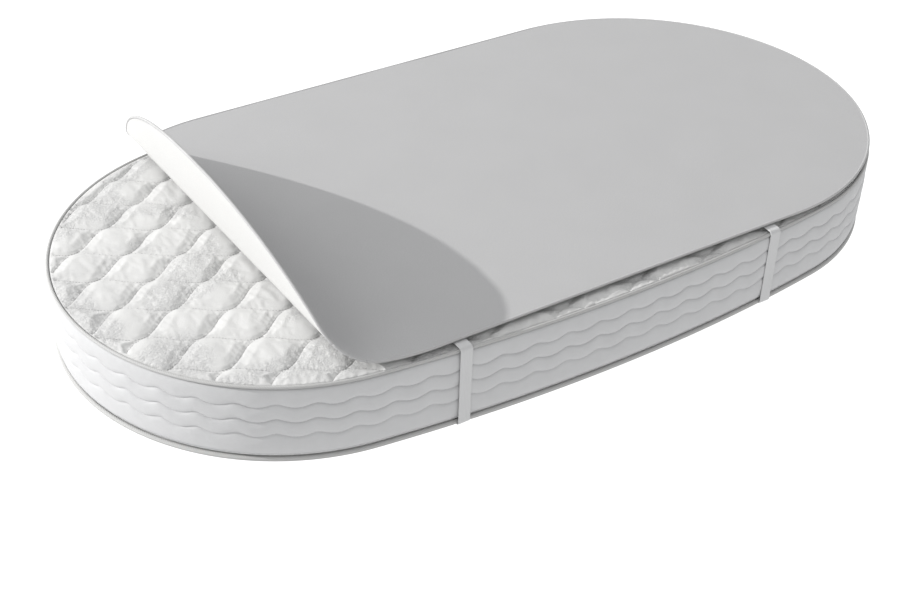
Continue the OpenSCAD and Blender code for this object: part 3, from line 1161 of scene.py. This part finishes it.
def rounded(points, radius, steps=5):
    """A line of points with its corners rounded off."""
    out = [points[0]]
    for a, b, c in zip(points, points[1:], points[2:]):
        a, b, c = (np.array(p) for p in (a, b, c))
        u, v = (a - b) / np.linalg.norm(a - b), (c - b) / np.linalg.norm(c - b)
        for t in np.linspace(0, 1, steps):
            out.append(tuple(b + u * radius * (1 - t) ** 2 + v * radius * t ** 2))
    out.append(points[-1])
    return out


def dense(points, step):
    out = []
    for a, b in zip(points, points[1:]):
        a, b = np.array(a), np.array(b)
        n = max(1, int(np.linalg.norm(b - a) / step))
        out += [a + (b - a) * i / n for i in range(n)]
    out.append(np.array(points[-1]))
    return np.array(out)


def make_strap(node, cloth):
    lo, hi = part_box(node)
    half_t = STRAP_T / 2
    y_mid = hi.y - half_t
    z_low, z_top = lo.z + half_t, hi.z - half_t
    tuck = y_mid - 50 * MM
    drop = [(-tuck, z_top), (-y_mid, z_top - 0.4 * MM), (-y_mid, z_low), (y_mid, z_low),
            (y_mid, z_top - 0.4 * MM), (tuck, z_top)]
    path = dense(rounded(drop, 5 * MM, 7), 4 * MM)
    tangent = np.gradient(path, axis=0)
    tangent /= np.linalg.norm(tangent, axis=1, keepdims=True)
    out = np.stack([tangent[:, 1], -tangent[:, 0]], -1)
    across = np.linspace(-0.5, 0.5, 37)
    ridge = 0.14 * MM * np.abs(np.sin(across * math.pi * 9))
    edge = np.clip((0.5 - np.abs(across)) / 0.03, 0, 1) ** 0.5
    thick = (half_t - 0.14 * MM + ridge) * (0.35 + 0.65 * edge)
    section = np.concatenate([np.stack([across, thick], -1),
                              np.stack([across, -thick], -1)[::-1]])
    centre = (lo.x + hi.x) / 2
    width = hi.x - lo.x
    ring = np.zeros((len(path), len(section), 3))
    ring[:, :, 0] = centre + section[None, :, 0] * width
    spot = path[:, None] + out[:, None] * section[None, :, 1:]
    ring[:, :, 1:] = spot
    k = len(section)
    walk = np.r_[0, np.cumsum(np.linalg.norm(np.diff(path, axis=0), axis=1))]
    uv = np.stack(np.broadcast_arrays(walk[:, None], section[None, :, 0] * width), -1)
    faces = grid_faces(len(path), k, False, True)
    faces += [list(range(k)), list(range((len(path) - 1) * k, len(path) * k))]
    obj = add_mesh(node + "_elastic", ring.reshape(-1, 3), faces, cloth, uv.reshape(-1, 2))
    face_outwards(obj)
    settle(obj, "elastic", node)


def make_straps():
    cloth = strap_elastic()
    for node in ("strap_left", "strap_right"):
        make_strap(node, cloth)
    cloth = patch_cloth()
    for node in ("strap_patches_left", "strap_patches_right"):
        dress(node, cloth)
    lines = []
    for node in ("strap_patches_left", "strap_patches_right"):
        lo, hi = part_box(node)
        for sign in (-1, 1):
            outer, inner = hi.y - 2 * MM, hi.y - 26 * MM
            y0, y1 = sorted((sign * outer, sign * inner))
            corners = [(lo.x + 2 * MM, y0), (hi.x - 2 * MM, y0), (hi.x - 2 * MM, y1),
                       (lo.x + 2 * MM, y1)]
            ring = dense([*corners, corners[0]], 4 * MM)[:-1]
            lines.append((np.c_[ring, np.full(len(ring), hi.z)], True))
            cross = dense([corners[0], corners[2]], 4 * MM)
            lines.append((np.c_[cross, np.full(len(cross), hi.z)], False))
    sewn = along_lines("strap_patch_stitches", stitch_tree(), lines, {
        "Pitch": 3.2 * MM, "Length": 2.4 * MM, "Thickness": 0.2 * MM,
        "Thread": thread("patch_thread", (0.45, 0.45, 0.45))})
    settle(sewn, "patch")


def dress(node, material):
    """Gives a CAD node that stays its own material."""
    obj = frame["nodes"][node]
    if not obj.material_slots:
        obj.data.materials.append(material)
    for slot in obj.material_slots:
        slot.material = material


# ---------------------------------------------------------------- zip

ZIP_IN = 3.4 * MM


def zip_height():
    return (low("zip_teeth").z + high("zip_teeth").z) / 2


def make_zip():
    for node in ("zip_tape_lower", "zip_tape_upper"):
        dress(node, bpy.data.materials.get("zip_tape") or zip_tape())
    dress("zip_end_stops", bpy.data.materials.get("zip_metal") or zip_metal())
    place, out, _, _ = outline(1400)
    spot = place - out * ZIP_IN
    gap_low, gap_high = low("zip_end_stops").x, high("zip_end_stops").x
    keep = ~((spot[:, 0] > gap_low - 0.6 * MM) & (spot[:, 0] < gap_high + 0.6 * MM)
             & (spot[:, 1] > 0))
    first = int(np.nonzero(~keep)[0].max()) + 1
    order = np.roll(np.arange(len(spot)), -first)
    order = order[keep[order]]
    line = np.c_[spot[order], np.full(len(order), zip_height())]
    coil = zip_coil()
    teeth = along_lines("zip_coil_teeth", tooth_tree(), [(line, False)], {
        "Pitch": 1.55 * MM, "Height": 2.9 * MM, "Depth": 1.5 * MM, "Width": 1.15 * MM,
        "Coil": coil})
    settle(teeth, "zip_coil", "zip_teeth")


def prism(shape, z0, z1, hole=None):
    """Vertices and faces of an upright prism, with an optional hole of as many corners."""
    n = len(shape)
    if hole is None:
        verts = [(x, y, z) for z in (z0, z1) for x, y in shape]
        faces = [list(range(n))[::-1], list(range(n, 2 * n))]
        return verts, faces + [[i, (i + 1) % n, n + (i + 1) % n, n + i] for i in range(n)]
    loops = [(shape, z0), (shape, z1), (hole, z1), (hole, z0)]
    verts = [(x, y, z) for loop, z in loops for x, y in loop]
    faces = []
    for k in range(4):
        a, b = k * n, (k + 1) % 4 * n
        faces += [[a + i, a + (i + 1) % n, b + (i + 1) % n, b + i] for i in range(n)]
    return verts, faces


def round_bar(x, y, radius, z0, z1, sides=20):
    return prism([(x + radius * math.cos(FULL_TURN * i / sides),
                   y + radius * math.sin(FULL_TURN * i / sides)) for i in range(sides)], z0, z1)


def assemble(name, parts, turn, material, bevel):
    """Joins shapes drawn at the middle of the back, rounds their edges and puts them in place."""
    verts, faces = [], []
    for v, f in parts:
        first = len(verts)
        verts += [tuple(turn @ (Vector(p) * MM)) for p in v]
        faces += [[first + i for i in face] for face in f]
    obj = add_mesh(name, verts, faces, material)
    face_outwards(obj)
    obj.data.shade_flat()
    edge = obj.modifiers.new("Edges", "BEVEL")
    edge.width = bevel
    edge.segments = 2
    edge.limit_method = "ANGLE"
    edge.harden_normals = False
    seen = obj.evaluated_get(bpy.context.evaluated_depsgraph_get())
    mesh = bpy.data.meshes.new_from_object(seen)
    obj.modifiers.remove(edge)
    obj.data = mesh
    return obj


def swap_axes(part, order):
    v, f = part
    return [tuple(p[i] for i in order) for p in v], f


def make_slider():
    metal = bpy.data.materials.get("zip_metal") or zip_metal()
    pin = Vector(joint("tab_swing")["pos_m"])
    pivot = Vector(joint("slider_travel")["pos_m"])
    arm = pin - pivot
    yaw = math.atan2(arm.y, arm.x) - math.pi / 2
    place = Matrix.Translation((pin.x, pin.y, zip_height())) @ Matrix.Rotation(yaw, 4, "Z")
    wings = [(-7, -2.5), (-5.6, -2.5), (-4.2, -2.3), (4.2, -2.3), (6.2, -2.5), (7, -1.5),
             (7, 1.5), (6.2, 2.5), (4.2, 2.3), (-4.2, 2.3), (-5.6, 2.5), (-7, 2.5)]
    back, face = -4.2 - 2.1, -4.2 + 1.8
    parts = [swap_axes(prism(wings, face - 1.3, face), (0, 2, 1)),
             swap_axes(prism([(x * 0.94, z) for x, z in wings], back, back + 1.0), (0, 2, 1)),
             prism([(-3.4, back + 0.6), (-2.2, back + 0.6),
                    (-1.6, face - 0.8), (-3.0, face - 0.8)],
                   -1.6, 1.6)]
    lug = [(-2, face - 0.4), (2, face - 0.4)] + [
        (2 * math.cos(a), 2 * math.sin(a)) for a in np.linspace(0, math.pi, 13)]
    parts += [prism(lug, z0, z0 + 1.0) for z0 in (-2.5, 1.5)]
    parts.append(round_bar(0, 0, 0.85, -2.4, 2.4))
    slider = assemble("zip_slider_body", parts, place, metal, 0.18 * MM)
    settle(slider, "zip_metal", "zip_slider", body="zip_slider")
    eye = [(1.95 * math.cos(a), 1.95 * math.sin(a)) for a in np.linspace(0, FULL_TURN, 25)[:-1]]
    bore = [(1.05 * math.cos(a), 1.05 * math.sin(a)) for a in np.linspace(0, FULL_TURN, 25)[:-1]]
    blade = []
    for a in np.linspace(-math.pi / 2, math.pi / 2, 9):
        blade.append((20.8 + 3.1 * math.cos(a), 2.2 * math.sin(a)))
    outer = [(1.2, -1.1), (7, -1.1), (10, -1.6), (14, -2.1), (17, -2.2)] + blade + [
        (17, 2.2), (14, 2.1), (10, 1.6), (7, 1.1), (1.2, 1.1)]
    slot = [(16.6 + (x - 1.2) * 0.235, z * 0.4) for x, z in outer]
    tab = [prism(eye, -1.3, 1.3, bore),
           swap_axes(prism(outer, -0.6, 0.6, slot), (0, 2, 1))]
    pull = assemble("zip_pull_tab", tab, place, metal, 0.2 * MM)
    settle(pull, "zip_metal", "pull_tab", body="pull_tab")


# ---------------------------------------------------------------- base and core

def make_base():
    """Base panel with two channels for the straps and shallow tufting on its underside."""
    inset = HALF_L - high("bottom_panel").x
    edge, _, _, _ = outline(420, inset)
    pts = [tuple(p) for p in edge]
    links = [(i, (i + 1) % len(pts)) for i in range(len(pts))]
    half_w = STRAP_W / 2
    for x in STRAPS:
        for d in (-half_w - 2.4 * MM, -half_w - 1.2 * MM, half_w + 1.2 * MM, half_w + 2.4 * MM):
            reach = side_y(abs(x + d)) - inset - 3 * MM
            first = len(pts)
            ys = np.linspace(-reach, reach, 60)
            pts += [(x + d, float(y)) for y in ys]
            links += [(first + i, first + i + 1) for i in range(len(ys) - 1)]
    x, y = staggered(9 * MM)
    clear = from_strap(x) - half_w
    keep = in_oval(x, y, inset + 5 * MM) & ((clear > 5 * MM) | (clear < -2 * MM))
    pts += list(zip(x[keep].tolist(), y[keep].tolist()))
    flat, faces, source = triangulate(pts, links, 0.0)
    x, y = flat[:, 0], flat[:, 1]
    tuft = np.abs(np.sin(x * math.pi / 0.05) * np.sin(y * math.pi / 0.05)) ** 0.5
    flat[:, 2] = 1.0 * MM * (1 - tuft)
    flat[from_strap(x) < half_w + 1.4 * MM, 2] = 1.9 * MM
    rim = source < len(edge)
    flat[rim, 2] = np.maximum(flat[rim, 2], 1.4 * MM)
    obj = add_mesh("base_panel_cover", flat, faces, base_ticking())
    close_flat(obj, high("bottom_panel").z,
               lambda face: abs(face.normal.z) > 0.3 and len(face.verts) < 5)
    settle(obj, "base_ticking", "bottom_panel")


def dress_core():
    dress("border_wadding", fibre("border_wadding", (0.7, 0.7, 0.68), 0.004, 0.12))
    dress("top_wadding", fibre("top_wadding", (0.7, 0.7, 0.68), 0.004, 0.12))
    dress("core_liner", fibre("core_liner", (0.62, 0.64, 0.66), 0.002, 0.06, 3.0))
    dress("coir_layer", fibre("coir_layer", (0.23, 0.13, 0.06), 0.003, 0.5, 2.0))
    dress("foam_core", foam("foam_core", (0.66, 0.62, 0.48), 0.0022))
    dress("comfort_foam", foam("comfort_foam", (0.7, 0.68, 0.6), 0.0016))


# ---------------------------------------------------------------- stage

def stage_material(name, colour, glow):
    mat = bpy.data.materials.new(name)
    mat.use_nodes = True
    shader = mat.node_tree.nodes["Principled BSDF"]
    shader.inputs["Base Color"].default_value = (*colour, 1)
    shader.inputs["Roughness"].default_value = 1.0
    shader.inputs["Specular IOR Level"].default_value = 0.0
    shader.inputs["Emission Color"].default_value = (1, 1, 1, 1)
    shader.inputs["Emission Strength"].default_value = glow
    return mat


def aim(light, towards, distance):
    """Hangs a light at a distance from the mattress, shining the given way at it."""
    way = Vector(towards).normalized()
    lamp = bpy.data.objects.new(light.name, light)
    turn = way.to_track_quat("-Z", "Y").to_matrix().to_4x4()
    lamp.matrix_world = Matrix.Translation(-way * distance) @ turn
    bpy.context.scene.collection.objects.link(lamp)


def set_stage():
    scene = bpy.context.scene
    scene.view_settings.view_transform = "Standard"
    scene.view_settings.look = "None"
    camera = bpy.data.cameras.new("camera")
    camera.lens, camera.sensor_width = 63.481, 36.0
    camera.clip_end = 50
    eye = bpy.data.objects.new("camera", camera)
    right = Vector((0.83545818, -0.5488417, 0.02797172))
    up = Vector((0.29885496, 0.49645933, 0.81499315))
    back = Vector((-0.46118905, -0.67253321, 0.57879508))
    turn = Matrix((right, up, back)).transposed().to_4x4()
    eye.matrix_world = Matrix.Translation((-1.1397, -1.5886, 1.2877)) @ turn
    scene.collection.objects.link(eye)
    scene.camera = eye
    bpy.ops.mesh.primitive_plane_add(size=16, location=(0, 0, -1.2 * MM))
    floor = bpy.context.object
    floor.name = "floor"
    floor.data.transform(floor.matrix_world)
    floor.matrix_world = Matrix.Identity(4)
    floor.data.materials.append(stage_material("floor", (0.12, 0.12, 0.12), 1.1))
    world = bpy.data.worlds.new("studio")
    scene.world = world
    world.use_nodes = True
    sky = world.node_tree.nodes["Background"]
    sky.inputs["Color"].default_value = (0.99, 0.993, 1.0, 1)
    sky.inputs["Strength"].default_value = 0.68
    sun = bpy.data.lights.new("key", "SUN")
    sun.energy = 3.1
    sun.angle = math.radians(0.7)
    sun.color = (1.0, 0.99, 0.98)
    aim(sun, (1.979, -1.414, -1.0), 4.0)
    soft = bpy.data.lights.new("softbox", "AREA")
    soft.shape, soft.size, soft.energy = "DISK", 2.2, 36.0
    aim(soft, (0.68, -0.34, -0.7), 3.0)


# ---------------------------------------------------------------- operators, panel and run

class MATTRESS_OT_quilt(bpy.types.Operator):
    """Build the quilted top, swollen between its stitched rows"""
    bl_idname = "mattress.quilt"
    bl_label = "Quilted top"

    def execute(self, context):
        make_quilt()
        return {"FINISHED"}


class MATTRESS_OT_border(bpy.types.Operator):
    """Build the stitched side border and both pipings"""
    bl_idname = "mattress.border"
    bl_label = "Border and pipings"

    def execute(self, context):
        make_border()
        make_pipings()
        return {"FINISHED"}


class MATTRESS_OT_protector(bpy.types.Operator):
    """Build the protector's face and backing, with its end peeled up"""
    bl_idname = "mattress.protector"
    bl_label = "Protector"

    def execute(self, context):
        trim = 1.2 * MM
        make_layer("face", FACE_TOP - FOLD_Z, FACE_LOW + 0.03 * MM - FOLD_Z,
                   protector_face(), trim)
        make_layer("backing", FACE_LOW - 0.03 * MM - FOLD_Z, BACKING_LOW - FOLD_Z,
                   protector_backing(), trim)
        make_binding()
        return {"FINISHED"}


class MATTRESS_OT_straps(bpy.types.Operator):
    """Build the two elastic straps and their sewn patches"""
    bl_idname = "mattress.straps"
    bl_label = "Straps"

    def execute(self, context):
        make_straps()
        return {"FINISHED"}


class MATTRESS_OT_zip(bpy.types.Operator):
    """Build the zip's teeth, slider and pull tab"""
    bl_idname = "mattress.zip"
    bl_label = "Zip"

    def execute(self, context):
        make_zip()
        make_slider()
        return {"FINISHED"}


class MATTRESS_OT_core(bpy.types.Operator):
    """Build the base panel and finish the layers inside"""
    bl_idname = "mattress.core"
    bl_label = "Base and core"

    def execute(self, context):
        make_base()
        dress_core()
        return {"FINISHED"}


class MATTRESS_OT_stage(bpy.types.Operator):
    """Set the floor, the light and the camera"""
    bl_idname = "mattress.stage"
    bl_label = "Stage"

    def execute(self, context):
        set_stage()
        return {"FINISHED"}


STEPS = ["stage", "quilt", "border", "protector", "straps", "zip", "core"]


class MATTRESS_PT_panel(bpy.types.Panel):
    """Lists the mattress's pieces and sizes"""
    bl_idname = "MATTRESS_PT_panel"
    bl_label = "Mattress"
    bl_space_type = "VIEW_3D"
    bl_region_type = "UI"
    bl_category = "Mattress"

    def draw(self, context):
        for group in (context.scene.mattress_sizes, context.scene.mattress_colours):
            for key in group.bl_rna.properties.keys():
                if key not in ("rna_type", "name"):
                    self.layout.prop(group, key)
        for step in STEPS:
            self.layout.operator("mattress." + step)


CLASSES = (MattressSizes, MattressColours, MATTRESS_OT_quilt, MATTRESS_OT_border,
           MATTRESS_OT_protector, MATTRESS_OT_straps, MATTRESS_OT_zip, MATTRESS_OT_core,
           MATTRESS_OT_stage, MATTRESS_PT_panel)


def register():
    for cls in CLASSES:
        bpy.utils.register_class(cls)
    bpy.types.Scene.mattress_sizes = PointerProperty(type=MattressSizes)
    bpy.types.Scene.mattress_colours = PointerProperty(type=MattressColours)


def unregister():
    del bpy.types.Scene.mattress_sizes
    del bpy.types.Scene.mattress_colours
    for cls in reversed(CLASSES):
        bpy.utils.unregister_class(cls)


def main():
    register()
    for step in STEPS:
        getattr(bpy.ops.mattress, step)()
    bpy.context.view_layer.update()


if __name__ == "__main__":
    main()
